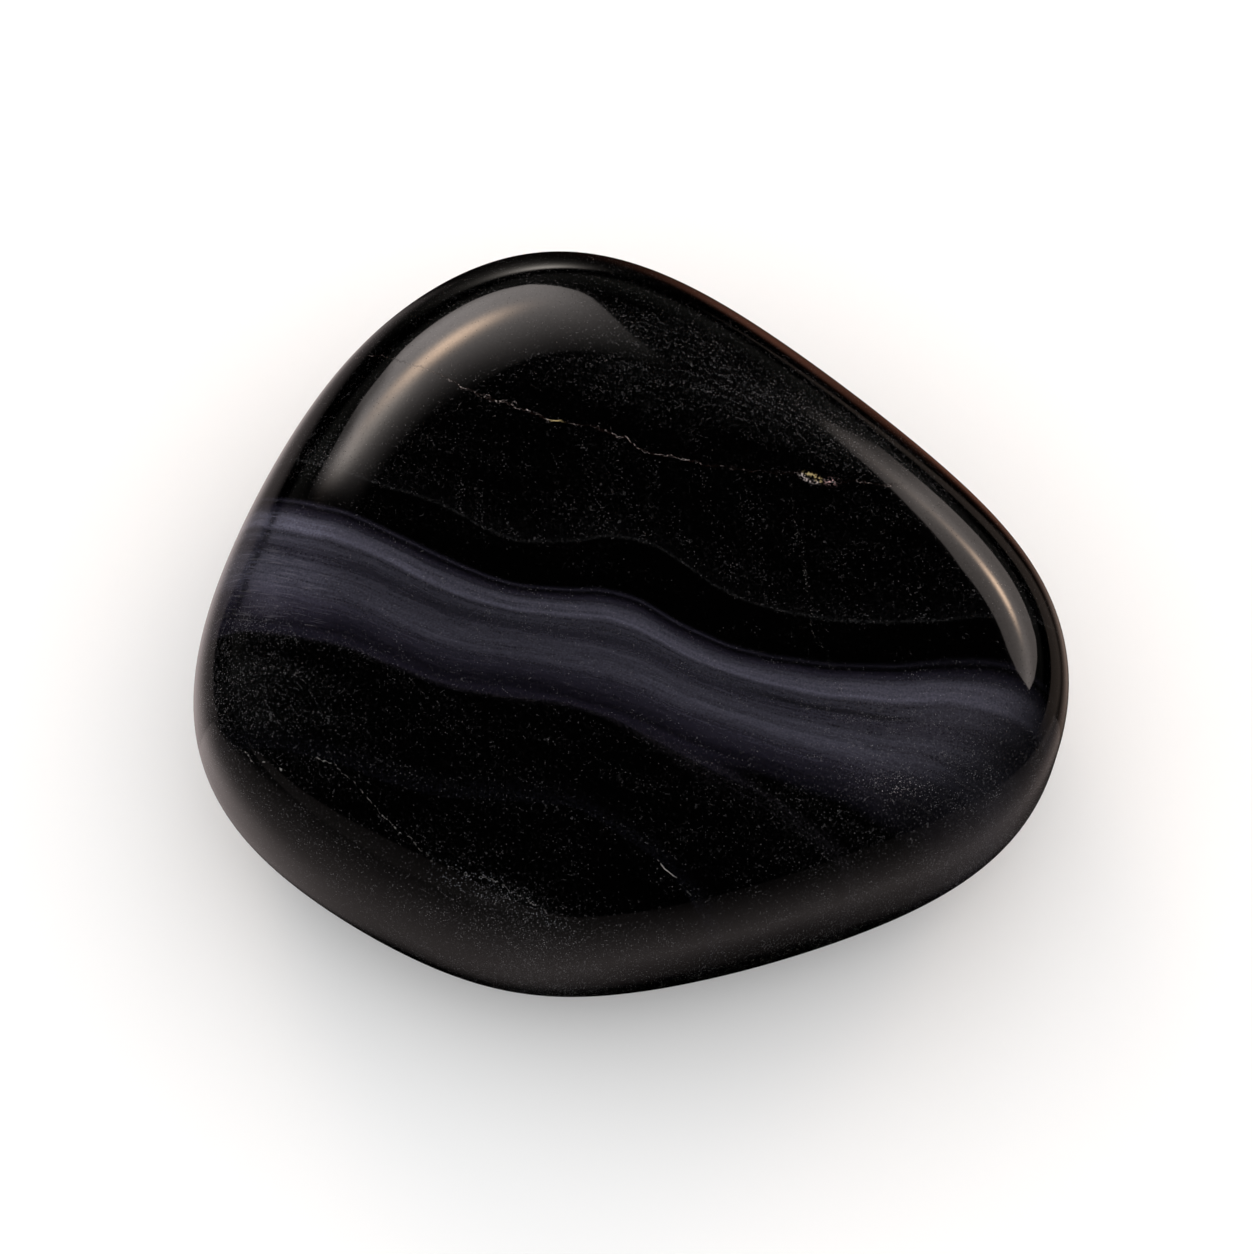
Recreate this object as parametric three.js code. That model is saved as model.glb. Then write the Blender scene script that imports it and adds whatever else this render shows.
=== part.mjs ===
// A tumbled black onyx pebble: one polished stone with broad, softly worn sides, lying on its flat.
// Millimetres, +Z up. The origin is on the surface that the stone lies on, under the middle of its box,
// and +X runs along its longest side.

import * as THREE from 'three';
import { mergeVertices } from 'three/addons/utils/BufferGeometryUtils.js';

// Driving dimensions
// Tumbling wore the stone to broad sides that run into each other over round edges. A side faces an
// azimuth (degrees from +X towards +Y) and a tilt (degrees from straight up), and lies at a distance
// from the stone's heart. The higher its crispness, the flatter the side and the tighter its edges.
const SIDES = [
  { name: 'top', azimuth: 200, tilt: 3, distance: 6.8, crispness: 3.5 },
  { name: 'right', azimuth: 0, tilt: 95, distance: 16.6, crispness: 6.8 },
  { name: 'back right', azimuth: 48.5, tilt: 79.5, distance: 11.7, crispness: 5.2 },
  { name: 'back', azimuth: 103.5, tilt: 71.5, distance: 15.65, crispness: 5.6 },
  { name: 'back left', azimuth: 153, tilt: 79, distance: 14.9, crispness: 5.2 },
  { name: 'left', azimuth: 179, tilt: 95, distance: 18.9, crispness: 5.6 },
  { name: 'front left', azimuth: 229.5, tilt: 87.5, distance: 17, crispness: 6.1 },
  { name: 'front', azimuth: 255.5, tilt: 86, distance: 16.8, crispness: 3.4 },
  { name: 'front right', azimuth: 289.5, tilt: 96.5, distance: 14.4, crispness: 8.9 },
  { name: 'right front', azimuth: 320.5, tilt: 92.5, distance: 18.1, crispness: 6.4 },
  { name: 'bottom', azimuth: 0, tilt: 180, distance: 6.4, crispness: 2.2 },
];
const HEART_HEIGHT = 6.34; // from the surface that the stone lies on up to its heart
const SPLITS_PER_EDGE = 17; // cuts along each edge of the icosahedron that the skin starts from
const NEWTON_STEPS = 14;

const POLISHED_BLACK = new THREE.MeshStandardMaterial({ color: 0x0b0b0e, roughness: 0.08, metalness: 0 });

// The unit vector that a side faces
function facing({ azimuth, tilt }) {
  const around = THREE.MathUtils.degToRad(azimuth);
  const down = THREE.MathUtils.degToRad(tilt);
  return new THREE.Vector3(
    Math.sin(down) * Math.cos(around),
    Math.sin(down) * Math.sin(around),
    Math.cos(down),
  );
}

// How far the skin is from the heart along a direction. The skin is where the powers of the nearness to
// all sides add up to 1, so far from the edges it follows one side and at an edge it rounds over.
function reachAlong(direction, sides) {
  const met = [];
  for (const side of sides) {
    const nearness = direction.dot(side.normal) / side.distance;
    if (nearness > 0) met.push({ nearness, crispness: side.crispness });
  }
  let reach = 1 / Math.max(...met.map((side) => side.nearness));
  for (let step = 0; step < NEWTON_STEPS; step++) {
    let excess = -1;
    let slope = 0;
    for (const { nearness, crispness } of met) {
      const term = (reach * nearness) ** crispness;
      excess += term;
      slope += (crispness * term) / reach;
    }
    reach -= excess / slope;
  }
  return reach;
}

// The skin as points round the heart, cut off level where the stone lies on its worn flat
function skinPoint(direction, sides) {
  const point = direction.clone().multiplyScalar(reachAlong(direction, sides));
  if (point.z < -HEART_HEIGHT) {
    point.multiplyScalar(HEART_HEIGHT / -point.z);
    point.z = -HEART_HEIGHT;
  }
  return point;
}

// One closed skin of near-equal triangles
function stoneGeometry() {
  const sides = SIDES.map((side) => ({ ...side, normal: facing(side) }));
  const ball = new THREE.IcosahedronGeometry(1, SPLITS_PER_EDGE);
  ball.deleteAttribute('normal');
  ball.deleteAttribute('uv');
  const geometry = mergeVertices(ball, 1e-5);
  const place = geometry.getAttribute('position');
  const direction = new THREE.Vector3();
  const points = [];
  for (let i = 0; i < place.count; i++) {
    direction.fromBufferAttribute(place, i).normalize();
    points.push(skinPoint(direction, sides));
  }
  const middle = new THREE.Box3().setFromPoints(points).getCenter(new THREE.Vector3());
  points.forEach((point, i) => {
    place.setXYZ(i, point.x - middle.x, point.y - middle.y, point.z + HEART_HEIGHT);
  });
  geometry.computeVertexNormals();
  return geometry;
}

function makeStone() {
  const stone = new THREE.Mesh(stoneGeometry(), POLISHED_BLACK);
  stone.name = 'stone';
  return stone;
}

const pebble = new THREE.Group();
pebble.add(makeStone());

export default pebble;
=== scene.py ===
"""A tumbled black onyx pebble: one polished stone with a wavy blue-grey band, healed cracks and pale flecks.

Blender's lengths are metres, +Z up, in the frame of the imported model. The stone's form and its markings are
given in millimetres in that frame.
"""
import math

import bmesh
import bpy
import numpy as np
from mathutils import Matrix, Vector


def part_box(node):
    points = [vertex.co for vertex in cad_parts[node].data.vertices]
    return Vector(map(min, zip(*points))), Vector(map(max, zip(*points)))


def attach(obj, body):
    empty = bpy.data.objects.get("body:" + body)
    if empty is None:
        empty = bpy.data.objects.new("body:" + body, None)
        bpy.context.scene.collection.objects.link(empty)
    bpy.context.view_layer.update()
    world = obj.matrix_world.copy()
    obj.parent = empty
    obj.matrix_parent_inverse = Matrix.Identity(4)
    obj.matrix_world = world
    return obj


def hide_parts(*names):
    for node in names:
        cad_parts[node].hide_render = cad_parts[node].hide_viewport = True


MM = 0.001

# The stone's broad, softly worn sides: azimuth and tilt in degrees, distance from the heart, crispness
SIDES = [
    (200, 3, 6.8, 3.5),  # top
    (0, 95, 16.6, 6.8),  # right
    (48.5, 79.5, 11.7, 5.2),  # back right
    (103.5, 71.5, 15.65, 5.6),  # back
    (153, 79, 14.9, 5.2),  # back left
    (179, 95, 18.9, 5.6),  # left
    (229.5, 87.5, 17.0, 6.1),  # front left
    (255.5, 86, 16.8, 3.4),  # front
    (289.5, 96.5, 14.4, 8.9),  # front right
    (320.5, 92.5, 18.1, 6.4),  # right front
    (0, 180, 6.4, 2.2),  # bottom
]
HEART_HEIGHT = 6.34
NEWTON_STEPS = 14
SKIN_SUBDIVISIONS = 7

# Tumbling leaves the polish very slightly uneven
SWELLS = 7
SWELL_LENGTHS = (5.0, 9.0)
SWELL_DEPTH = 0.002
SWELL_SEED = 11

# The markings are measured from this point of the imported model's frame
MARKS_FROM = (0.25, -0.11, 0)

# The one open pit, on the main crack
PIT = {"at": (6.28, 1.90), "size": (0.36, 0.17), "turn": -22, "depth": 0.07}
PIT_RAGGEDNESS = 0.25
PIT_WAVES = (17, 23)
PIT_MESH_REACH = 0.8
PIT_MESH_CUTS = 3

# Where each marking runs over the stone, as y for x, seen from above
BAND_TOP = [
    (-16, 4.4), (-13.8, 3), (-13, 2.35), (-12.1, 1.86), (-10.2, 0.91), (-8.4, -0.13), (-6.6, -1.19),
    (-5.7, -1.64), (-4.8, -1.98), (-3.9, -2.2), (-3, -2.32), (-2.15, -2.4), (-1.25, -2.46), (-0.35, -2.7),
    (0.5, -3.11), (1.4, -3.72), (2.3, -4.25), (4.1, -5.01), (5.8, -5.4), (7.6, -5.62), (9.35, -5.62),
    (11.1, -5.45), (12.9, -5.41), (13.8, -5.57), (14.35, -5.76), (14.9, -6.15), (16, -7.2),
]
BAND_BOTTOM = [
    (-16, -1.6), (-14.9, -2.2), (-13.8, -2.78), (-12.9, -3.1), (-12, -3.42), (-10.1, -4.1),
    (-8.35, -5.01), (-6.55, -5.81), (-4.8, -6.1), (-3, -6.49), (-1.25, -7.03), (0.5, -7.76), (2.3, -8.6),
    (4, -9.2), (5.8, -9.91), (7.5, -10.48), (8.95, -11.1), (10.4, -11.5), (12, -12.2), (16, -13.8),
]
LINE_ABOVE = [
    (-16, 5.4), (-12.5, 4), (-11, 3.1), (-9.2, 2.1), (-7.4, 1.3), (-6.3, 0.7), (-5.2, 0), (-3.8, -0.5),
    (-2.3, -0.5), (-0.9, -0.4), (0.2, -0.6), (1.6, -1.4), (3, -2.5), (4.4, -3.2), (5.8, -3.6),
    (7.6, -3.9), (10.1, -3.9), (12.2, -3.6), (16, -3.2),
]
STREAK_BELOW = [
    (-16, -2.6), (-13.6, -3.2), (-12, -3.75), (-10.1, -4.41), (-8.35, -5.24), (-6.55, -5.96),
    (-4.8, -6.43), (-3, -6.68), (-1.25, -7.22), (0.5, -8.18), (2.3, -9.23), (4, -10.18), (5.8, -11.41),
    (7.2, -12.27), (9, -14),
]
FAINT_BELOW = [
    (-16, -6.6), (-13.4, -7.4), (-10.8, -8.4), (-8.7, -9.31), (-6.5, -10), (-4.75, -10.22),
    (-3.35, -10.4), (-2.15, -10.63), (-1.25, -11.16), (-0.25, -11.81), (0.5, -12.33), (1.1, -12.81),
    (1.9, -13.6), (3, -14.5),
]
# Where the band is darkened along a ragged stripe at the left
LEFT_DARK_STRIPE = [
    (2.0, -12.9), (0.94, -13.24), (0.43, -13.45), (-0.15, -13.69), (-0.92, -13.96), (-1.69, -14.2),
    (-2.39, -14.52), (-3.13, -14.68), (-3.85, -14.82), (-4.88, -14.95), (-5.82, -15.02), (-7.5, -14.9),
]  # x for y
MAIN_CRACK = [
    (-10.6, 8.7), (-9.2, 7.9), (-7.2, 6.6), (-6, 5.8), (-4.2, 4.95), (-3, 4.4), (-1.6, 4.1), (-0.3, 3.5),
    (0.6, 3.0), (1.6, 2.7), (3.1, 2.35), (4.8, 2.15), (5.9, 2), (6.4, 1.85), (7.7, 1.75), (8.9, 1.7),
    (9.8, 1.8),
]
EDGE_CRACK = [(-14.6, -6.8), (-14.2, -7.1), (-13.7, -7.6), (-13.3, -7.9), (-12.7, -8.2), (-12.2, -8.7)]
LOWER_CRACK = [
    (-11.6, -8.1), (-11, -8.35), (-10.6, -8.62), (-9.7, -9.45), (-9.2, -10.02), (-8.5, -10.79),
    (-8.05, -11.09), (-7.2, -11.86), (-6.7, -12.21), (-6, -12.47), (-5.3, -12.68), (-4.75, -12.91),
    (-4.2, -13.22), (-2.6, -14.2),
]
FROST_LINE = [
    (-7.4, -12.1), (-6.9, -12.45), (-6.1, -12.73), (-5.45, -13.04), (-4.75, -13.39), (-3.35, -13.92),
    (-2, -14.5),
]
SHORT_CRACK = [(0.2, -12), (0.7, -12.43), (1.05, -12.81), (1.3, -12.99), (1.6, -13.22), (2.6, -14.1)]
RIM_CRACK = [(-2.2, 10.9), (-1.3, 10.7), (-0.5, 10.3), (0.2, 9.8), (1.1, 9.1), (2, 8.4), (3.2, 7.5)]
UPRIGHT_CRACK = [
    (-6.9, 7.4), (-5.7, 7), (-5, 6.6), (-4, 6.25), (-2.2, 6.1), (-0.6, 5.8), (0.9, 5.6), (2, 5.5),
]  # x for y

# How much of a crack is filled, along it
MAIN_FILLING = [
    (-10.6, 0.5), (-10, 0.6), (-9, 0.35), (-8, 0.3), (-7.2, 0.45), (-6.5, 0.9), (-5, 1), (-3.6, 0.95),
    (-3.1, 0.7), (-2.8, 0.1), (-2.4, 0.15), (-2.1, 0.35), (-1.7, 0.1), (-1.4, 0.8), (0, 0.9), (1.8, 0.8),
    (2.8, 0.5), (3.4, 0.15), (4.9, 0.15), (5.7, 0.45), (6.2, 0.8), (7.2, 0.7), (7.6, 0.3), (9, 0.4),
    (9.8, 0.1),
]
LOWER_FILLING = [
    (-11.6, 1), (-10.3, 0.9), (-9.5, 0.8), (-8.2, 0.8), (-7.6, 0.5), (-7.1, 0.2), (-6, 0.3), (-4.5, 0.5),
    (-3, 0.1),
]
# Where the band has faded out at its right end, as y for x
RIGHT_END_EDGE = [
    (8.6, -10.5), (10, -10.75), (10.7, -10.4), (11.4, -10), (12.3, -9.4), (13.2, -8.7), (14, -8),
    (14.4, -7.4), (16, -5.5),
]

# How bright the band is along x, against its middle
BAND_STRENGTH = [
    (-16, 1.4), (-13.4, 1.6), (-12.2, 1.75), (-11, 1.42), (-10.1, 1.14), (-8.5, 1.06), (-6.5, 1.0),
    (-2, 1.0), (1, 1.05), (5, 1.1), (8, 1.05), (10, 0.98), (12, 0.9), (13.3, 0.72), (14.4, 0.45),
    (16, 0.2),
]
# The band's layers from its top line, 0, to its lower edge, 1: how bright each is, and how violet
LAYERS = [
    (-0.035, 0.0000, 0), (-0.014, 0.0030, 0.7), (0.000, 0.0095, 0.45), (0.012, 0.0036, 0.6),
    (0.026, 0.0009, 1), (0.055, 0.0040, 1), (0.080, 0.0085, 0.6), (0.098, 0.0098, 0.3),
    (0.120, 0.0200, 0), (0.145, 0.0315, 0), (0.205, 0.0355, 0), (0.235, 0.0470, 0), (0.256, 0.0262, 0),
    (0.274, 0.0145, 0), (0.303, 0.0160, 0), (0.333, 0.0185, 0), (0.393, 0.0108, 0.2),
    (0.444, 0.0123, 0.2), (0.479, 0.0185, 0), (0.547, 0.0212, 0), (0.615, 0.0262, 0),
    (0.692, 0.0203, 0.1), (0.760, 0.0123, 0.4), (0.830, 0.0080, 0.6), (0.897, 0.0050, 0.8),
    (0.957, 0.0032, 1), (1.010, 0.0024, 1), (1.035, 0.0015, 1), (1.080, 0.0000, 1),
]
LAYER_RANGE = (-0.3, 1.3)

# Where pale flecks gather: centre, half length and half width, turn in degrees, amount
FLECK_CLOUDS = [
    {"at": (1.2, 7.6), "size": (4.6, 1.5), "turn": -27, "amount": 0.60},  # along the back right edge
    {"at": (6.5, 4.4), "size": (4.4, 1.2), "turn": -27, "amount": 0.75},
    {"at": (0.0, 5.9), "size": (3.2, 0.9), "turn": -25, "amount": 0.40},  # behind the main crack
    {"at": (-14.0, -4.0), "size": (1.6, 2.5), "turn": 0, "amount": 0.62},  # left, under the band
    {"at": (-12.2, -6.2), "size": (3.2, 1.3), "turn": -25, "amount": 0.42},
    {"at": (10.6, -9.2), "size": (4.2, 2.4), "turn": -10, "amount": 0.48},  # the band's right end
    {"at": (-11.3, 3.5), "size": (1.3, 0.8), "turn": 50, "amount": 0.65},  # a scuffed patch at the left
    {"at": (-3.9, -13.9), "size": (2.8, 0.9), "turn": -25, "amount": 0.65},  # round the frost
    {"at": (5.6, -11.8), "size": (2.6, 1.5), "turn": -30, "amount": 0.25},
]
FLECKS_EVERYWHERE = 0.30
FLECK_STREAKS = 0.7
# How many more flecks there are in some places, or fewer where it is negative
FLECK_AMOUNTS = {
    "behind the line above": 0.10,
    "on the line above": 0.16,
    "between line and band": -0.22,
    "behind the main crack": -0.14,
    "on the band's lower edge": 0.15,
    "on the flanks": 0.25,
}
# Single spots, as centre and half length and width: bright dust, pale specks, and a blush beside the pit
SPARKLE = (9.7, -9.9), (1.0, 0.35)
SPECKS = (9.1, -9.95), (0.75, 0.3)
BLUSH_SPOT = (7.0, 1.75), (0.17, 0.11)

# The dust's round grains, as shares of a cell
DUST_PER_MM = 17.0
DOT_RADIUS, DOT_SPREAD, DOT_CORE = 0.29, 0.2, 0.08

# Soft noises over the skin: how fine each is, per millimetre, and the offset that sets it apart
NOISES = {
    "wear": (0.4, 25.0),
    "level": (0.6, 2.0),
    "bends": (1.7, 12.0),
    "glint": (4.2, 91.0),
    "breaks": (4.6, 61.0),
    "kinks": (6.3, 15.0),
    "patches": (8.5, 31.0),
    "grit": (13.0, 33.0),
    "net": (14.0, 7.0),
}
NET_EDGES = (0.10, 0.03)
# How far the noises move the layers and the cracks, in millimetres
LEVEL_REACH = 0.13
BEND_REACH, KINK_REACH, NET_REACH = 0.35, 0.16, 0.025

# Half widths of the cracks and of what lies along them
CRACK_WIDTHS = {
    "main": 0.018,
    "braid": 0.020,
    "stain": 0.06,
    "crumb": 0.045,
    "lower": 0.022,
    "edge": 0.032,
    "short": 0.030,
    "rim": 0.040,
    "upright": 0.07,
    "frost": 0.26,
    "frost line": 0.22,
}
CRACK_CORE = 0.35
CRACK_TAPER = 0.4
DARK_STRIPE_WIDTH = 0.19

# How much of the band is lost along a ragged dark stripe at the left and beyond it, at its faded right end,
# and at two dark lines
BAND_LOSSES = {"dark_stripe": 0.7, "beyond the dark stripe": 0.1, "right end": 0.8, "dark line": 0.65, "top line": 0.45}
# How much the thin sheets, the threads and the grit change the layers' brightness
SHEETS_SHARE, THREADS_SHARE, GRIT_SHARE = 1.1, 0.45, 0.8

# Where these start, are whole, and end: in millimetres along the stone
SPANS = {
    "dark line": (2.0, 5.5, 8.5, 10.5),
    "right grey": (5.0, 12.0, 13.0, 15.5),
    "behind the main crack": (-5.0, -3.0, 4.5, 6.5),
    "frost": (-7.6, -6.8, -4.5, -3.0),
}
# The same across the band, from its top line, 0, to its lower edge, 1
DEPTHS = {
    "right grey": (0.06, 0.16, 0.9, 1.03),
    "left grey": (0.5, 0.7, 0.85, 1.02),
    "dashes": (0.25, 0.5, 0.95, 1.05),
}

# The cracks and crumbs are on the top alone, and the flanks have more dust
TOP_HEIGHTS = (8.0, 9.0)
FLANK_HEIGHTS = (11.0, 8.5)

# The polish, and how dust, cracks and tiny pits in the skin dull it
POLISH_ROUGHNESS, WEAR_ROUGHNESS = 0.035, 0.04
DUST_ROUGHNESS, CRACK_ROUGHNESS, PIT_ROUGHNESS = 0.10, 0.25, 0.5
POLISH_SHINE, GRIT_SHINE = 0.5, 0.12
PIT_DULLING, STAIN_DULLING = 0.35, 0.5

BLACK = (0.00012, 0.0001, 0.0001)
LEFT_END_GREY = (0.0120, 0.0114, 0.0148)
RIGHT_END_GREY = (0.0060, 0.0054, 0.0062)
LAYER_GREY = (1, 0.985, 1.36)
LAYER_VIOLET = (1, 0.88, 1.52)
FLECK_TINT = (0.029, 0.028, 0.029)
HAZE_TINT = (0.0022, 0.0022, 0.0025)
LINE_TINT = (0.0060, 0.0062, 0.0064)
STREAK_TINT = (0.0110, 0.0097, 0.0120)
GAP_TINT = (0.0036, 0.0031, 0.0056)
FAINT_TINT = (0.0016, 0.0016, 0.0025)
CRACK_TINT = (0.48, 0.42, 0.41)
CRACK_STAIN = (0.006, 0.0024, 0.0018)
LOWER_CRACK_TINT = (0.26, 0.25, 0.24)
FROST_TINT = (0.105, 0.112, 0.126)
GOLD = (0.42, 0.33, 0.16)
BLUSH = (0.40, 0.26, 0.26)
REFRACTION = 1.54

# The camera looks down on the stone over its front, from where the photograph was taken
ELEVATION = 64
CAMERA_DISTANCE = 250
FRAME_WIDTH = 45.867
SENSOR_WIDTH = 36
CLIP_START = 10
AIM = (-0.048, -0.719, 6.284)


class Field:
    """A number that a node works out at each point of a surface, with the usual arithmetic."""

    def __init__(self, graph, socket):
        self.graph = graph
        self.socket = socket

    def __add__(self, other):
        return self.graph.math("ADD", self, other)

    def __radd__(self, other):
        return self.graph.math("ADD", other, self)

    def __sub__(self, other):
        return self.graph.math("SUBTRACT", self, other)

    def __rsub__(self, other):
        return self.graph.math("SUBTRACT", other, self)

    def __mul__(self, other):
        return self.graph.math("MULTIPLY", self, other)

    def __rmul__(self, other):
        return self.graph.math("MULTIPLY", other, self)

    def __truediv__(self, other):
        return self.graph.math("DIVIDE", self, other)

    def __abs__(self):
        return self.graph.math("ABSOLUTE", self)

    def ramp(self, start, end):
        """0 at start, 1 at end, and smooth between them."""
        node = self.graph.node("ShaderNodeMapRange", interpolation_type="SMOOTHSTEP")
        for socket, value in zip(node.inputs, (self, start, end, 0.0, 1.0)):
            self.graph.feed(socket, value)
        return Field(self.graph, node.outputs[0])

    def span(self, start, full, last, end):
        """Rises from 0 at start to 1 at full, and falls from 1 at last to 0 at end."""
        return self.ramp(start, full) * self.ramp(end, last)

    def bell(self, centre, width):
        """1 at the centre, and falling away smoothly on both sides."""
        off = (self - centre) / width
        return self.graph.math("EXPONENT", off * off * -1.0)


class Graph:
    """Adds nodes to a material's or the world's node tree."""

    def __init__(self, tree):
        self.tree = tree
        tree.nodes.clear()

    def node(self, kind, **settings):
        made = self.tree.nodes.new(kind)
        for name, value in settings.items():
            setattr(made, name, value)
        return made

    def feed(self, socket, value):
        if isinstance(value, Field):
            value = value.socket
        if isinstance(value, bpy.types.NodeSocket):
            self.tree.links.new(value, socket)
        else:
            socket.default_value = value

    def finish(self, shader, kind="ShaderNodeOutputMaterial"):
        """Makes the shader the tree's surface."""
        self.feed(self.node(kind).inputs["Surface"], shader.outputs[0])

    def math(self, operation, *values):
        node = self.node("ShaderNodeMath", operation=operation)
        for socket, value in zip(node.inputs, values):
            self.feed(socket, value)
        return Field(self, node.outputs[0])

    def scaled(self, vector, factor):
        """A colour or a vector times a number."""
        node = self.node("ShaderNodeVectorMath", operation="SCALE")
        self.feed(node.inputs[0], vector)
        self.feed(node.inputs["Scale"], factor)
        return node.outputs[0]

    def sum(self, *vectors):
        """Colours or vectors added up."""
        total = vectors[0]
        for vector in vectors[1:]:
            node = self.node("ShaderNodeVectorMath", operation="ADD")
            self.feed(node.inputs[0], total)
            self.feed(node.inputs[1], vector)
            total = node.outputs[0]
        return total

    def vector(self, x, y, z):
        node = self.node("ShaderNodeCombineXYZ")
        for socket, value in zip(node.inputs, (x, y, z)):
            self.feed(socket, value)
        return node.outputs[0]

    def parts(self, vector):
        node = self.node("ShaderNodeSeparateXYZ")
        self.feed(node.inputs[0], vector)
        return [Field(self, socket) for socket in node.outputs]

    def noise(self, vector, scale, offset=0.0, detail=0.0):
        """Soft noise about 0.5. The offset moves it, so that two noises differ."""
        place = self.sum(vector, (offset, offset * 0.7, -offset * 1.3))
        node = self.node("ShaderNodeTexNoise")
        self.feed(node.inputs["Vector"], place)
        self.feed(node.inputs["Scale"], scale)
        self.feed(node.inputs["Detail"], detail)
        return Field(self, node.outputs[0])

    def grains(self, vector, scale):
        """Scattered round grains: how far the nearest one is, in cells, and three numbers of its own."""
        node = self.node("ShaderNodeTexVoronoi")
        self.feed(node.inputs["Vector"], vector)
        self.feed(node.inputs["Scale"], scale)
        return (Field(self, node.outputs["Distance"]), *self.parts(node.outputs["Color"]))

    def pool(self, x, y, at, size, turn=0):
        """1 at an oval's centre, and falling away smoothly all round it."""
        along, across = oval(x, y, at, size, turn)
        return self.math("EXPONENT", (along * along + across * across) * -1.0)

    def curve(self, along, points):
        """A smooth curve through points given as (along, value)."""
        starts, values = zip(*points)
        start, length = min(starts), max(starts) - min(starts)
        low, height = min(values), max(max(values) - min(values), 1e-6)
        node = self.node("ShaderNodeFloatCurve")
        line = node.mapping.curves[0]
        for step, (at, value) in enumerate(sorted(points)):
            spot = ((at - start) / length, (value - low) / height)
            if step < 2:
                line.points[step].location = spot
            else:
                line.points.new(*spot)
        node.mapping.update()
        self.feed(node.inputs["Value"], (along - start) / length)
        return Field(self, node.outputs[0]) * height + low

    def layers(self, depth, stops, reach):
        """A colour for each depth, from stops of (depth, brightness, how violet)."""
        low, high = reach
        node = self.node("ShaderNodeValToRGB")
        ramp = node.color_ramp
        ramp.elements[0].position = 0.0
        ramp.elements[1].position = 1.0
        for end in ramp.elements:
            end.color = (0, 0, 0, 1)
        for at, bright, violet in stops:
            colour = [bright * (a + (b - a) * violet) for a, b in zip(LAYER_GREY, LAYER_VIOLET)]
            ramp.elements.new((at - low) / (high - low)).color = (*colour, 1)
        self.feed(node.inputs[0], (depth - low) / (high - low))
        return node.outputs[0]


def oval(x, y, at, size, turn=0):
    """How far a point is along and across a turned oval, in shares of its half length and half width."""
    angle = math.radians(turn)
    length, width = size
    dx, dy = x - at[0], y - at[1]
    along = dx * (math.cos(angle) / length) + dy * (math.sin(angle) / length)
    across = dy * (math.cos(angle) / width) - dx * (math.sin(angle) / width)
    return along, across


# The skin
def facing(azimuth, tilt):
    around, down = math.radians(azimuth), math.radians(tilt)
    return (math.sin(down) * math.cos(around), math.sin(down) * math.sin(around), math.cos(down))


def skin_points(directions):
    """Where the skin lies along each direction from the heart, cut off level at the worn flat."""
    normals = np.array([facing(azimuth, tilt) for azimuth, tilt, _, _ in SIDES])
    distances = np.array([distance for _, _, distance, _ in SIDES])
    crispness = np.array([crisp for _, _, _, crisp in SIDES])
    nearness = np.maximum(directions @ normals.T / distances, 0)
    reach = 1 / nearness.max(axis=1)
    for _ in range(NEWTON_STEPS):
        terms = (reach[:, None] * nearness) ** crispness
        slope = (terms * crispness).sum(axis=1) / reach
        reach -= (terms.sum(axis=1) - 1) / slope
    points = directions * (reach - swells(directions * reach[:, None]))[:, None]
    below = points[:, 2] < -HEART_HEIGHT
    points[below] *= (HEART_HEIGHT / -points[below, 2])[:, None]
    return points


def swells(points):
    """How far the polish lies below the even form: a few long, very shallow waves."""
    random = np.random.default_rng(SWELL_SEED)
    depth = np.zeros(len(points))
    for _ in range(SWELLS):
        way = random.normal(size=3)
        way /= np.linalg.norm(way)
        length = random.uniform(*SWELL_LENGTHS)
        depth += 1 + np.sin(points @ way * (2 * math.pi / length) + random.uniform(0, 2 * math.pi))
    return depth * SWELL_DEPTH


def fitted(points, low, high):
    """The points moved and stretched by a hair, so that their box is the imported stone's."""
    first, last = points.min(axis=0), points.max(axis=0)
    return low + (points - first) / (last - first) * (high - low)


def pit_spot(points):
    """Distance from the pit's middle, 1 at its rim."""
    x, y, _ = (points / MM - MARKS_FROM).T
    return np.hypot(*oval(x, y, PIT["at"], PIT["size"], PIT["turn"]))


def sink_pit(points):
    spot = pit_spot(points)
    inside = (spot < 1) & (points[:, 2] > points[:, 2].mean())
    waves = np.sin(points[:, 0] / MM * PIT_WAVES[0]) * np.cos(points[:, 1] / MM * PIT_WAVES[1])
    ragged = 1 - PIT_RAGGEDNESS * (1 - waves)
    points[inside, 2] -= (PIT["depth"] * MM * (1 - spot ** 2) * ragged)[inside]
    return points


def ball_directions(low, high):
    """A fine ball's mesh, with smaller faces where the pit is."""
    ball = bmesh.new()
    bmesh.ops.create_icosphere(ball, subdivisions=SKIN_SUBDIVISIONS, radius=1)
    places = vertices_of(ball)
    skin = fitted(skin_points(places), low, high)
    on_top = skin[:, 2] > (low[2] + high[2]) / 2
    near = (pit_spot(skin) < PIT_MESH_REACH / PIT["size"][0]) & on_top
    edges = [edge for edge in ball.edges if all(near[vertex.index] for vertex in edge.verts)]
    bmesh.ops.subdivide_edges(ball, edges=edges, cuts=PIT_MESH_CUTS, use_grid_fill=True)
    bmesh.ops.triangulate(ball, faces=ball.faces)
    return ball


def vertices_of(ball):
    ball.verts.index_update()
    return np.array([vertex.co.normalized() for vertex in ball.verts])


def make_stone():
    low, high = (np.array(corner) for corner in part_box("stone"))
    ball = ball_directions(low, high)
    points = sink_pit(fitted(skin_points(vertices_of(ball)), low, high))
    for vertex, point in zip(ball.verts, points):
        vertex.co = point
    mesh = bpy.data.meshes.new("onyx_pebble")
    ball.to_mesh(mesh)
    ball.free()
    mesh.shade_smooth()
    mesh.materials.append(onyx())
    stone = bpy.data.objects.new("onyx_pebble", mesh)
    bpy.context.scene.collection.objects.link(stone)
    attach(stone, "root")
    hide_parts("stone")


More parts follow.
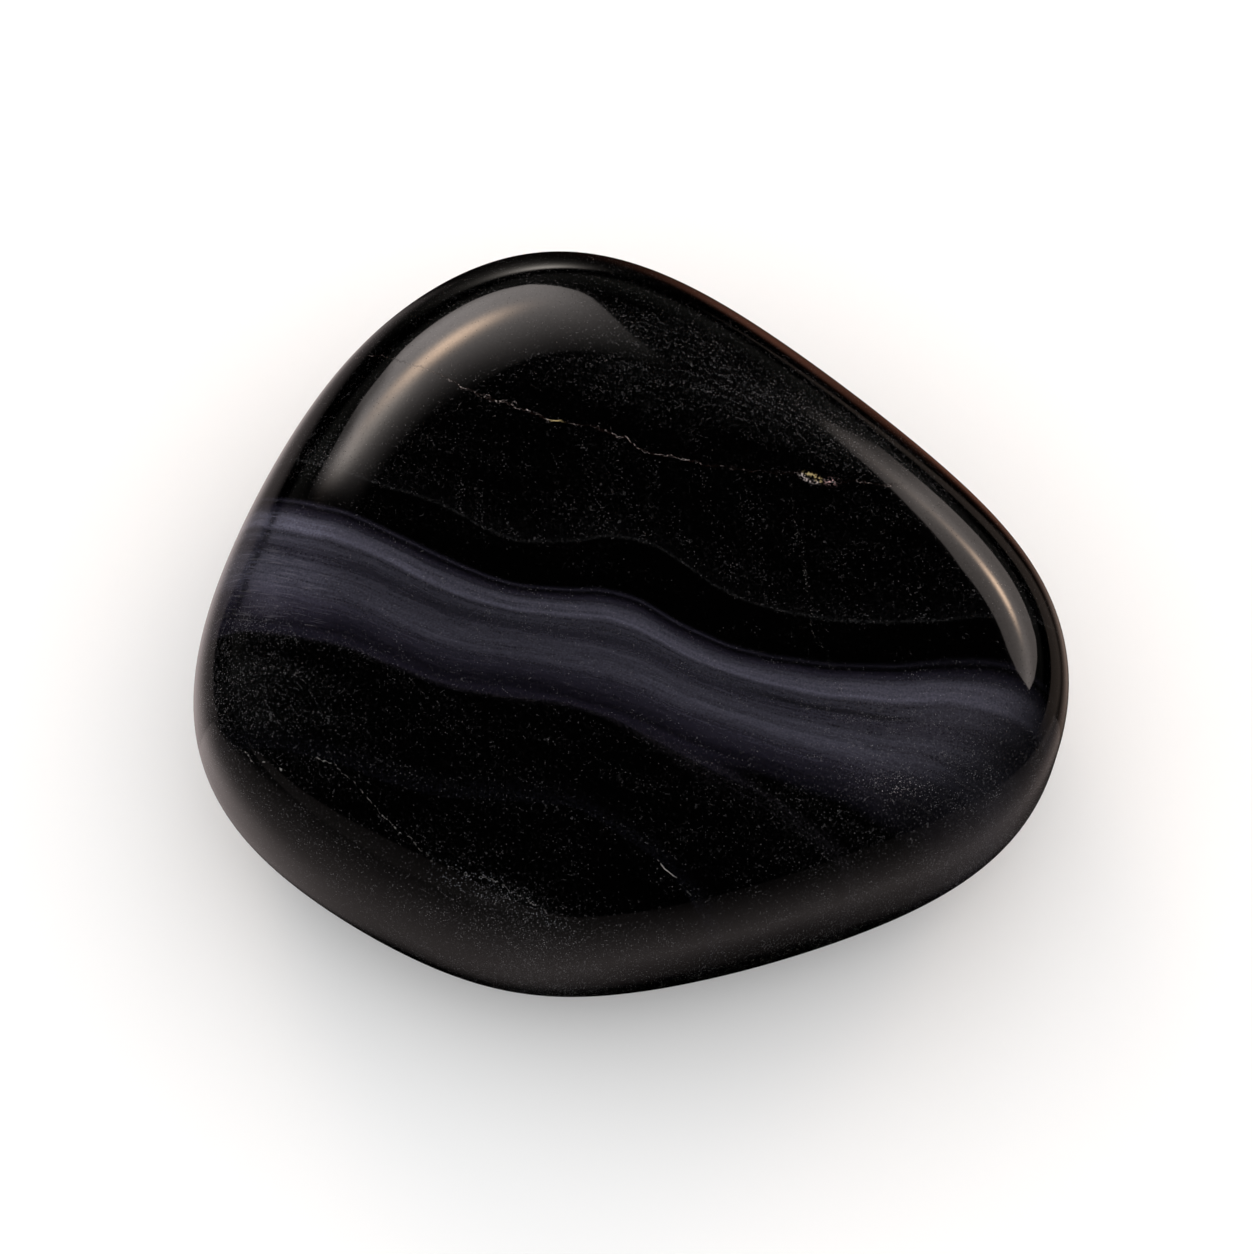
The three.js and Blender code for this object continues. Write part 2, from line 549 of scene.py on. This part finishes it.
# The stone's material
class Skin:
    """What the markings share at each point of the stone: where it is in millimetres, and noises over it."""

    def __init__(self, graph):
        self.graph = graph
        place = graph.scaled(graph.node("ShaderNodeTexCoord").outputs["Object"], 1 / MM)
        self.place = graph.sum(place, tuple(-shift for shift in MARKS_FROM))
        self.x, self.y, self.z = graph.parts(self.place)
        self.on_top = self.z.ramp(*TOP_HEIGHTS)
        self.add_noises()
        self.add_layers()

    def noise(self, name):
        """A soft noise about 0."""
        return self.graph.noise(self.place, *NOISES[name]) - 0.5

    def add_noises(self):
        graph, x, y, z = self.graph, self.x, self.y, self.z
        turned = graph.vector(x * 0.8 + y * 0.6, y * 0.8 - x * 0.6 + z * 0.4, z - y * 0.3)
        self.net = abs(graph.noise(turned, *NOISES["net"]) - 0.5).ramp(*NET_EDGES)
        self.patches = graph.noise(turned, *NOISES["patches"])
        self.glint = self.noise("glint")
        self.breaks = self.noise("breaks")
        self.kinks = self.noise("kinks")
        self.grit = self.noise("grit")
        self.wander = self.noise("bends") * BEND_REACH + self.kinks * KINK_REACH + self.net * NET_REACH
        self.distance, self.chance, self.size, self.shine = graph.grains(self.place, DUST_PER_MM)

        # Cracks are filled with small beads, and brighter in longer lumps
        self.bead = self.distance.ramp(0.5, 0.15) * (self.shine * 1.3 + 0.15)
        self.lump = self.patches.ramp(0.44, 0.58) * 0.92 + 0.08

    def add_layers(self):
        """The layers are upright sheets, a little uneven, so their edges turn down over the flanks."""
        graph, x, z = self.graph, self.x, self.z
        self.level = self.y + self.noise("level") * LEVEL_REACH
        top = graph.curve(x, BAND_TOP)
        bottom = graph.curve(x, BAND_BOTTOM)
        self.depth = (top - self.level) / (top - bottom)
        self.above_line = self.level - graph.curve(x, LINE_ABOVE)

        # Each layer is made of far thinner ones
        sheets = graph.vector(x * 0.16, self.depth * 24.0, z * 0.1)
        self.sheets = graph.noise(sheets, 1.0, 9.0, detail=1.0) - 0.5
        threads = graph.vector(x * 1.5, self.depth * 75.0, z * 0.7)
        self.threads = graph.noise(threads, 1.0, 14.0)


def band_colour(skin):
    """The band's layers, darkened along a ragged stripe at the left and a little dimmer beyond it, and greyed
    and faded out at the right end.
    """
    graph, x, depth = skin.graph, skin.x, skin.depth
    uneven = skin.sheets * SHEETS_SHARE + (skin.threads - 0.5) * THREADS_SHARE
    uneven = uneven * x.ramp(14.0, 11.0) + skin.grit * GRIT_SHARE + 1.0
    # A ragged dark stripe crosses the band at the left rim, and the band is a little dimmer beyond it
    past_stripe = x - graph.curve(skin.y, LEFT_DARK_STRIPE)
    dark_stripe = past_stripe.bell(0.0, DARK_STRIPE_WIDTH) * (skin.sheets + skin.threads).ramp(0.40, 0.60)
    cut = dark_stripe * BAND_LOSSES["dark_stripe"] + past_stripe.ramp(0.0, -0.3) * BAND_LOSSES["beyond the dark stripe"]
    texture = (1.0 - cut) * uneven
    faded = (skin.level - graph.curve(x, RIGHT_END_EDGE)).ramp(2.6, 0.0) * x.ramp(7.5, 10.0)
    clear = 1.0 - faded * BAND_LOSSES["right end"]
    dark_line = depth.bell(0.36, 0.026) * x.span(*SPANS["dark line"]) * BAND_LOSSES["dark line"]
    top_line = depth.ramp(0.05, 0.03) * x.ramp(1.0, 6.0) * BAND_LOSSES["top line"]
    strength = graph.curve(x, BAND_STRENGTH) * texture * clear * (1.0 - dark_line - top_line)
    right_grey = depth.span(*DEPTHS["right grey"]) * x.span(*SPANS["right grey"])
    right_grey = right_grey * (skin.grit * 1.6 + 1.0) * clear
    left_grey = depth.span(*DEPTHS["left grey"]) * x.bell(-13.2, 0.75) * texture
    return graph.sum(
        graph.scaled(graph.layers(depth, LAYERS, LAYER_RANGE), strength),
        graph.scaled(RIGHT_END_GREY, right_grey),
        graph.scaled(LEFT_END_GREY, left_grey),
    )


def line_colours(skin, speckle):
    """The thin line above the band, the streak and the violet gap below it, and a faint second line."""
    graph, x = skin.graph, skin.x
    below_streak = skin.level - graph.curve(x, STREAK_BELOW)
    above_faint = skin.level - graph.curve(x, FAINT_BELOW)
    line_above = skin.above_line.bell(0.04, 0.06) * speckle

    # The streak widens to the right and parts into thin lines
    widening = x.ramp(-1.5, 2.5)
    parted = graph.noise(graph.vector(x * 0.2, below_streak * 5.5, 0.0), 1.0, 21.0).ramp(0.36, 0.58)
    streak = (below_streak / (widening * 0.26 + 0.10)).bell(0.0, 1.0) * (1.0 - widening * (1.0 - parted))
    streak = streak * speckle * (skin.bead * 0.8 + 0.5) * (1.0 - x.ramp(4.0, 8.0) * 0.55)
    gap = below_streak.ramp(-0.04, 0.06) * skin.depth.ramp(0.97, 1.02) * x.ramp(4.5, 2.0)
    faint = above_faint.span(-0.05, 0.02, 0.02, 1.0) * speckle
    return graph.sum(
        graph.scaled(LINE_TINT, line_above),
        graph.scaled(STREAK_TINT, streak),
        graph.scaled(GAP_TINT, gap),
        graph.scaled(FAINT_TINT, faint),
    )


def fleck_density(skin):
    """How thickly pale flecks lie, 0 to 1: more in clouds, and in rough streaks along the layers."""
    graph, x, y, z = skin.graph, skin.x, skin.y, skin.z
    above_line, depth = skin.above_line, skin.depth
    behind_crack = (y - graph.curve(x, MAIN_CRACK)).bell(0.75, 0.45)
    shares = {
        "behind the line above": above_line.span(-0.05, 0.10, 0.1, 3.2),
        "on the line above": above_line.bell(0.05, 0.09),
        "between line and band": above_line.ramp(0.05, -0.2) * depth.ramp(0.02, -0.05),
        "behind the main crack": behind_crack * x.span(*SPANS["behind the main crack"]),
        "on the band's lower edge": depth.bell(1.0, 0.05),
        "on the flanks": z.ramp(*FLANK_HEIGHTS),
    }
    streaks = graph.noise(graph.vector(x * 0.33 - y * 0.12, x * 0.46 + y * 1.3, z * 0.6), 1.0, 4.0)
    amount = (streaks - 0.5) * FLECK_STREAKS + FLECKS_EVERYWHERE
    for name, share in shares.items():
        amount = amount + share * FLECK_AMOUNTS[name]
    for cloud in FLECK_CLOUDS:
        amount = amount + graph.pool(x, y, cloud["at"], cloud["size"], cloud["turn"]) * cloud["amount"]
    return amount


def flecks(skin, density):
    """Fine dust, of round dots and of short bits of a net of curled hairlines. The dots are painted brighter
    low on the flanks, as a glint.
    """
    shown = (skin.chance + density - 1.0).ramp(0.0, 0.08)
    bright = skin.shine * skin.shine * skin.shine * (density * 2.4 + 1.9) + 0.2
    dots = skin.distance.ramp(skin.size * DOT_SPREAD + DOT_RADIUS, DOT_CORE) * shown * bright
    # Dots are brighter in one spot of bright dust, and brighter low on the flanks, which is a painted glint
    bright_dust_and_flank_glint = skin.graph.pool(skin.x, skin.y, *SPARKLE) * 1.5 + skin.z.ramp(11.5, 9.0) * 0.6 + 1.0
    curls = skin.net * (skin.patches + density * 0.28).ramp(0.75, 0.87) * (skin.glint.ramp(-0.10, 0.35) + 0.2)
    return dots * bright_dust_and_flank_glint + curls


def dashes(skin):
    """Pale dashes along the band's layers, most of them at its left end."""
    shown = skin.threads.ramp(0.62, 0.80) * skin.depth.span(*DEPTHS["dashes"])
    return shown * (skin.x.ramp(-9.5, -12.5) * 0.6 + 0.12)


def haze(skin, density, speckle):
    """A breath of grey in the clouds and just behind the line above the band."""
    behind_line = skin.above_line.span(-0.03, 0.08, 0.05, 1.3) * 0.4
    return (density.ramp(0.4, 1.4) + behind_line) * speckle


def crack_line(along, across, path, wander, width):
    """1 on a thin line that wanders about its path, and 0 away from it."""
    first, last = path[0][0], path[-1][0]
    off = abs(across - along.graph.curve(along, path) - wander)
    inside = along.span(first, first + CRACK_TAPER, last - CRACK_TAPER, last)
    return off.ramp(width, width * CRACK_CORE) * inside


def main_crack(skin):
    """The main crack: its pale filling, braided in two places, the brown stain round it, and a gold crumb."""
    x, y, wander = skin.x, skin.y, skin.wander
    filled = skin.graph.curve(x, MAIN_FILLING)
    line = crack_line(x, y, MAIN_CRACK, wander, CRACK_WIDTHS["main"])
    line = line * (skin.breaks + filled * 0.13).ramp(0.06, 0.12) * (filled * 0.9 + 0.05)
    second = wander * 0.6 + skin.glint * 0.45 - skin.kinks * 0.25
    braid = crack_line(x, y, MAIN_CRACK, second, CRACK_WIDTHS["braid"]) * skin.kinks.ramp(-0.15, 0.0)
    braid = braid * (x.bell(-5.2, 1.3) + x.bell(0.6, 1.5) * 0.9)
    filling = (line + braid * 0.7) * skin.lump * (skin.bead * 2.0 + 0.3)
    stain = crack_line(x, y, MAIN_CRACK, wander, CRACK_WIDTHS["stain"]) * (filled * 0.4 + 0.15)
    crumb = crack_line(x, y, MAIN_CRACK, wander, CRACK_WIDTHS["crumb"]) * x.bell(-2.87, 0.17)
    return filling * skin.on_top, stain * skin.on_top, crumb * skin.on_top


def thin_cracks(skin):
    """The thinner cracks: low down, at the left edge, at the back rim, and a faint one from back to front."""
    x, y, wander, breaks = skin.x, skin.y, skin.wander, skin.breaks
    filled = skin.graph.curve(x, LOWER_FILLING)
    lower = crack_line(x, y, LOWER_CRACK, wander * 0.8, CRACK_WIDTHS["lower"])
    lower = lower * (breaks + filled * 0.2).ramp(0.03, 0.12) * (filled * 0.9 + 0.05)
    lower = lower * (skin.bead * 0.8 + skin.lump * 0.4)
    edge = crack_line(x, y, EDGE_CRACK, wander, CRACK_WIDTHS["edge"]) * breaks.ramp(0.0, 0.10) * skin.lump
    pale_end = x.bell(1.1, 0.28)
    short = crack_line(x, y, SHORT_CRACK, wander * 0.5, CRACK_WIDTHS["short"])
    short = short * (breaks + pale_end * 0.3).ramp(0.05, 0.12) * (pale_end * 0.9 + 0.08)
    rim = crack_line(x, y, RIM_CRACK, wander * 0.6, CRACK_WIDTHS["rim"]) * breaks.ramp(-0.07, 0.05)
    upright = crack_line(y, x, UPRIGHT_CRACK, wander * 1.3, CRACK_WIDTHS["upright"])
    faint = (rim * 0.16 + upright * breaks.ramp(-0.06, 0.06) * 0.17) * skin.bead
    return (lower + edge * 0.7 + short + faint) * skin.on_top


def frost(skin):
    """White grains that spread from the lower crack, and along a line beside it."""
    x, y = skin.x, skin.y
    spread = crack_line(x, y, LOWER_CRACK, skin.wander, CRACK_WIDTHS["frost"]) * x.span(*SPANS["frost"])
    spread = spread + crack_line(x, y, FROST_LINE, skin.wander, CRACK_WIDTHS["frost line"])
    return spread * skin.bead.ramp(0.5, 1.2) * skin.breaks.ramp(-0.11, 0.03)


def pit_crumbs(skin):
    """Pale crumbs before the pit and at the band's right end, gold ones behind the pit, a blush beside it."""
    graph, x, y = skin.graph, skin.x, skin.y
    along, across = oval(x, y, PIT["at"], PIT["size"], PIT["turn"])
    spot = graph.math("SQRT", along * along + across * across)
    crumbs = skin.grit.ramp(-0.01, 0.09) * skin.on_top
    behind = (across + along * 0.4).ramp(-0.35, 0.35)
    rim = spot.bell(0.85, 0.32) * crumbs
    specks = graph.pool(x, y, *SPECKS) * skin.grit.ramp(0.06, 0.16) * skin.on_top * skin.bead
    pale = rim * (1.0 - behind) * 0.7 + specks * 0.5
    return pale, rim * behind, graph.pool(x, y, *BLUSH_SPOT) * crumbs


def onyx():
    material, graph = new_material("black_onyx")
    skin = Skin(graph)
    speckle = skin.net * 0.6 + skin.grit.ramp(-0.15, 0.2) * 0.7
    density = fleck_density(skin)
    pale = flecks(skin, density)
    filling, stain, crumb = main_crack(skin)
    silver, gold, blush = pit_crumbs(skin)
    colour = graph.sum(
        BLACK,
        band_colour(skin),
        line_colours(skin, speckle),
        graph.scaled(FLECK_TINT, pale + dashes(skin)),
        graph.scaled(HAZE_TINT, haze(skin, density, speckle)),
        graph.scaled(CRACK_TINT, filling + silver),
        graph.scaled(LOWER_CRACK_TINT, thin_cracks(skin)),
        graph.scaled(CRACK_STAIN, stain),
        graph.scaled(FROST_TINT, frost(skin)),
        graph.scaled(GOLD, gold * 0.8 + crumb),
        graph.scaled(BLUSH, blush),
    )

    # Here and there a grain has left a tiny pit in the skin
    pits = skin.distance.ramp(0.36, 0.12) * skin.chance.ramp(0.10, 0.05)
    rough = (skin.noise("wear") + 0.5) * WEAR_ROUGHNESS + POLISH_ROUGHNESS
    rough = rough + pale * DUST_ROUGHNESS + (stain + filling) * CRACK_ROUGHNESS + pits * PIT_ROUGHNESS
    shine = POLISH_SHINE - pits * PIT_DULLING - stain * STAIN_DULLING + skin.grit * GRIT_SHINE

    shader = graph.node("ShaderNodeBsdfPrincipled")
    graph.feed(shader.inputs["Base Color"], colour)
    graph.feed(shader.inputs["Roughness"], rough)
    graph.feed(shader.inputs["IOR"], REFRACTION)
    graph.feed(shader.inputs["Specular IOR Level"], shine)
    graph.finish(shader)
    return material


# The studio
SOFTBOX_DISTANCE = 400
BIG_SOFTBOX_LIGHT, BIG_SOFTBOX_TINT = 3.0, (1, 0.91, 0.88)
BIG_LAMP_LIGHT, BIG_LAMP_TINT = 8.2, (1, 0.68, 0.45)
RIDGE_LIGHT, RIDGE_TINT = 1.5, (1, 0.88, 0.78)
LONG_SOFTBOX_TINT = (1, 0.88, 0.83)
TUBE_LIGHT, TUBE_TINT = 11.5, (1, 0.70, 0.48)
LOW_CARD_LIGHT, LOW_CARD_FOOT_LIGHT = 0.06, 0.045
WARM_GREY = (1, 0.86, 0.84)
BROWN = (1, 0.40, 0.26)
# Outlines and gradients of the lights are in millimetres. On a card, u runs to the left and v upwards as
# seen from the stone, and on the table they run along X and Y.
# How the big softbox dims from its right end to its left one, along u
BIG_SOFTBOX_ENDS = [
    (-140, 0.3), (-106, 0.42), (-62, 0.74), (-17, 0.84), (15, 0.95), (43, 1), (66, 1), (86, 0.92),
    (104, 0.95), (120, 0.95), (141, 1.2), (182, 1.2),
]


def big_softbox(graph, u, v):
    """Bright below, fading out upwards and at its left end, with a warm lamp inside."""
    left_end = (u + v * 0.42).ramp(170, 146) * (1.0 - u.ramp(125, 150) * v.ramp(40, -70) * 0.6)
    near_edge = u.ramp(90, 120) * (v - u * 0.8).ramp(-102, -192) * 0.65
    body = graph.curve(u, BIG_SOFTBOX_ENDS) * v.ramp(u.ramp(60, -20) * 40.0 + 155.0, -45)
    body = body * (v.ramp(-190, -90) * 0.8 + 0.2) * left_end * (1.0 - near_edge) * BIG_SOFTBOX_LIGHT
    lamp = u.bell(50, 50) * v.bell(3, 26) * BIG_LAMP_LIGHT
    ridge = v.bell(33, 32) * u.ramp(60, 90) * left_end * RIDGE_LIGHT
    return graph.sum(
        graph.scaled(BIG_SOFTBOX_TINT, body),
        graph.scaled(BIG_LAMP_TINT, lamp),
        graph.scaled(RIDGE_TINT, ridge),
    )


def long_softbox(graph, u, v):
    """A long, lower light with a narrow warm tube inside."""
    body = (v.bell(-28, 42) * 0.9 + v.ramp(110, -10) * 0.4 + 0.85) * (u.ramp(153, 112) * 0.7 + 0.3)
    tube = u.bell(2, 62) * v.bell(-12, 15) * TUBE_LIGHT
    return graph.sum(graph.scaled(LONG_SOFTBOX_TINT, body), graph.scaled(TUBE_TINT, tube))


def low_card(graph, u, v):
    """A dim glowing card that stands on the table, its glow a little brighter at its foot."""
    light = v.ramp(180, 0) * LOW_CARD_FOOT_LIGHT + LOW_CARD_LIGHT
    return graph.scaled(WARM_GREY, light * (u.ramp(-300, -190) * 0.45 + 0.55))


CARDS = [
    {
        "name": "softbox_left",
        "azimuth": 108,
        "elevation": 28,
        "outline": [
            (125, 105), (159, 40), (178, -20), (181, -42), (176, -53), (166, -60), (157, -75), (148, -88),
            (138, -100), (115, -116), (95, -138), (73, -145), (20, -143), (-11, -133), (-52, -112),
            (-83, -71), (-102, -38), (-109, -9), (-110, 41), (-109, 121), (-118, 186), (-87, 183),
            (-60, 172), (-14, 160), (120, 160),
        ],
        "light": big_softbox,
    },
    {
        "name": "softbox_right",
        "azimuth": 45,
        "elevation": 32,
        "outline": [
            (153, -30), (150, -70), (147, -150), (-100, -152), (-135, -155), (-190, -130), (-239, -92),
            (-262, -45), (-225, -5), (-195, 25), (-150, 62), (-100, 85), (-70, 92), (70, 92), (118, 60),
            (150, 20),
        ],
        "light": long_softbox,
    },
]
LOW_CARD = [
    (-290, 0), (280, 0), (235, 24), (189, 54), (140, 100), (92, 146), (60, 172), (24, 180), (-14, 158),
    (-49, 125), (-107, 92), (-195, 66), (-240, 35),
]
LOW_CARD_AZIMUTH = -135


def new_material(name):
    material = bpy.data.materials.new(name)
    material.use_nodes = True
    return material, Graph(material.node_tree)


def make_sheet(name, outline, matrix, light):
    """A flat glowing sheet. light gives its colour for a point of it, in millimetres."""
    mesh = bpy.data.meshes.new(name)
    mesh.from_pydata([(u * MM, v * MM, 0) for u, v in outline], [], [range(len(outline))])
    material, graph = new_material(name)
    place = graph.scaled(graph.node("ShaderNodeTexCoord").outputs["Object"], 1 / MM)
    u, v, _ = graph.parts(place)
    glow = graph.node("ShaderNodeEmission")
    graph.feed(glow.inputs["Color"], light(graph, u, v))
    graph.finish(glow)
    material.cycles.emission_sampling = "NONE"
    mesh.materials.append(material)
    sheet = bpy.data.objects.new(name, mesh)
    sheet.matrix_world = matrix
    sheet.visible_camera = False
    bpy.context.scene.collection.objects.link(sheet)
    return sheet


def only_mirrored(sheet):
    """Only mirrored rays see it, so it lights nothing and casts no shadow."""
    sheet.visible_diffuse = False
    sheet.visible_transmission = False
    sheet.visible_volume_scatter = False
    sheet.visible_shadow = False


def make_card(name, azimuth, elevation, outline, light):
    around, above = math.radians(azimuth), math.radians(elevation)
    level = math.cos(above)
    outward = Vector((level * math.cos(around), level * math.sin(around), math.sin(above)))
    across = Vector((-math.sin(around), math.cos(around), 0))
    upward = outward.cross(across)
    matrix = Matrix((across, upward, outward)).transposed().to_4x4()
    matrix.translation = outward * SOFTBOX_DISTANCE * MM
    return make_sheet(name, outline, matrix, light)


# What the polish mirrors of the table. A wedge of light opens to the back left. Its far edge is a line,
# v + slope u, and its near edge runs straight back and then turns outwards by the slope.
WEDGE_FAR = {"slope": 0.32, "start": 26, "end": 10}
WEDGE_NEAR = {"turn": 11, "slope": 0.76, "start": -36, "end": -32}
# Beyond this line, u + slope v, the table is dark at the front right
DARK_LINE = {"slope": 0.5, "start": 31, "end": 27}
# A dark corner to the left of the stone, which widens away from it
DARK_CORNER = {"at": (-28, -3), "slopes": (0.2, 0.9)}
# Soft pools, as centre, reach, brightness and tint
TABLE_POOLS = [
    {"at": (10, 24), "reach": (6, 7), "light": 0.24, "tint": BROWN},
    {"at": (15, 11), "reach": (5, 6), "light": 0.22, "tint": BROWN},
    {"at": (20, 2), "reach": (4, 6), "light": 0.32, "tint": (1, 0.74, 0.62)},
    {"at": (-11, 88), "reach": (8, 27), "light": 2.1, "tint": (1, 0.92, 0.84)},
]
TABLE_REACH = 3000
# How bright the table looks before the stone, at the wedge, close to the stone, and far off at the side
FRONT_LIGHT, FRONT_NEAR_LIGHT, FRONT_WIDE_LIGHT = 0.072, 0.055, 0.045
WEDGE_LIGHT, CLOSE_LIGHT = 0.20, 0.38
SIDE_LIGHT, SIDE_TINT = 0.15, (1, 0.78, 0.66)
# The stone's own shade, in shares of its half width
SHADE_START, SHADE_END = 1.0, 1.26
STONE_HALF_WIDTH, STONE_HALF_DEPTH = 15.9, 14.8


def table_light(graph, u, v):
    """Light before and beside the stone, shaded close round it."""
    across, along = u / STONE_HALF_WIDTH, v / STONE_HALF_DEPTH
    ring = graph.math("SQRT", across * across + along * along)
    shade = ring.ramp(SHADE_START, SHADE_END)
    corner_u, corner_v = DARK_CORNER["at"]
    corner = ((corner_v - v) / graph.math("MAXIMUM", corner_u - u, 0.01)).ramp(*DARK_CORNER["slopes"])
    line = (u + v * DARK_LINE["slope"]).ramp(DARK_LINE["start"], DARK_LINE["end"])
    front = ring.bell(1.3, 3.0) * FRONT_WIDE_LIGHT + ring.bell(1.3, 0.85) * FRONT_NEAR_LIGHT + FRONT_LIGHT
    front = front * v.ramp(4, -4) * corner * line * (1.0 - u.ramp(0, 25) * 0.4)
    far = (v + u * WEDGE_FAR["slope"]).ramp(WEDGE_FAR["start"], WEDGE_FAR["end"])
    behind = graph.math("MAXIMUM", v - WEDGE_NEAR["turn"], 0.0)
    near = (u + behind * WEDGE_NEAR["slope"]).ramp(WEDGE_NEAR["start"], WEDGE_NEAR["end"])
    close = ring.bell(1.2, 0.3) * v.ramp(26, 10) * v.ramp(-15, -4) * CLOSE_LIGHT
    wedge = far * near * u.ramp(-9, -12) * ring.ramp(0.95, 1.1) * (v.ramp(-6, 0) * WEDGE_LIGHT + close)
    side = u.ramp(60, 52) * u.ramp(25, 30) * v.ramp(-12, 0) * v.ramp(110, 60) * SIDE_LIGHT
    glow = [graph.scaled(WARM_GREY, front * shade + wedge), graph.scaled(SIDE_TINT, side)]
    for pool in TABLE_POOLS:
        fall = graph.pool(u, v, pool["at"], pool["reach"])
        glow.append(graph.scaled(pool["tint"], fall * shade * pool["light"]))
    return graph.sum(*glow)


def square(reach):
    return [(-reach, -reach), (reach, -reach), (reach, reach), (-reach, reach)]


def make_table_light():
    """The pale floor would drown the black stone's flanks, so the polish mirrors this sheet instead."""
    only_mirrored(make_sheet("table_mirrored", square(TABLE_REACH), Matrix.Identity(4), table_light))


FLOOR_REACH = 3.0
FLOOR_TINT = (0.96, 0.96, 0.96)


def make_floor():
    mesh = bpy.data.meshes.new("floor")
    mesh.from_pydata([(x, y, 0) for x, y in square(FLOOR_REACH)], [], [(0, 1, 2, 3)])
    material, graph = new_material("pale_floor")
    shader = graph.node("ShaderNodeBsdfDiffuse")
    graph.feed(shader.inputs["Color"], (*FLOOR_TINT, 1))
    graph.finish(shader)
    mesh.materials.append(material)
    floor = bpy.data.objects.new("floor", mesh)
    floor.visible_glossy = False
    bpy.context.scene.collection.objects.link(floor)


ROOM_LIGHT = 1.13
# What the polish mirrors of the room: nearly nothing, and a dim warm wall low down behind the stone
MIRRORED_ROOM, MIRRORED_WALL = 0.003, 0.05
WALL_TINT = (1, 0.95, 0.88, 1)
WHITE = (1, 1, 1, 1)


def make_world():
    """A white room, which the polish mirrors as a dark one."""
    world = bpy.data.worlds.new("studio")
    world.use_nodes = True
    world.cycles.sampling_method = "NONE"
    bpy.context.scene.world = world
    graph = Graph(world.node_tree)
    _, y, z = graph.parts(graph.node("ShaderNodeTexCoord").outputs["Generated"])
    behind = y.ramp(0.0, 0.6) * z.span(-0.02, 0.10, 0.05, 0.40)
    dark = graph.node("ShaderNodeBackground")
    graph.feed(dark.inputs["Color"], WALL_TINT)
    graph.feed(dark.inputs["Strength"], behind * MIRRORED_WALL + MIRRORED_ROOM)
    white = graph.node("ShaderNodeBackground")
    graph.feed(white.inputs["Color"], WHITE)
    graph.feed(white.inputs["Strength"], ROOM_LIGHT)
    either = graph.node("ShaderNodeMixShader")
    graph.feed(either.inputs[0], graph.node("ShaderNodeLightPath").outputs["Is Glossy Ray"])
    graph.feed(either.inputs[1], white.outputs[0])
    graph.feed(either.inputs[2], dark.outputs[0])
    graph.finish(either, "ShaderNodeOutputWorld")


def make_camera():
    camera = bpy.data.cameras.new("camera")
    camera.sensor_width = SENSOR_WIDTH
    camera.lens = SENSOR_WIDTH * CAMERA_DISTANCE / FRAME_WIDTH
    camera.clip_start = CLIP_START * MM
    above = math.radians(ELEVATION)
    back = Vector((0, -math.cos(above), math.sin(above)))
    holder = bpy.data.objects.new("camera", camera)
    holder.location = (Vector(AIM) + back * CAMERA_DISTANCE) * MM
    holder.rotation_euler = (math.radians(90 - ELEVATION), 0, 0)
    bpy.context.scene.collection.objects.link(holder)
    bpy.context.scene.camera = holder


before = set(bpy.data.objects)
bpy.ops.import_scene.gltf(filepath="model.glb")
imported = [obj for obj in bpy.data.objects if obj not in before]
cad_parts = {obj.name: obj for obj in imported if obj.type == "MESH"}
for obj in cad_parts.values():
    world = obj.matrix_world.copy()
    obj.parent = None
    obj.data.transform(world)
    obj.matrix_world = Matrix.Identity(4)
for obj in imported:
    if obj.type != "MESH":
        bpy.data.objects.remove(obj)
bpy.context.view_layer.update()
make_camera()
make_world()
make_floor()
make_table_light()
only_mirrored(make_card("low_card", LOW_CARD_AZIMUTH, 0, LOW_CARD, low_card))
for card in CARDS:
    make_card(**card)
make_stone()
bpy.context.scene.view_settings.view_transform = "Standard"
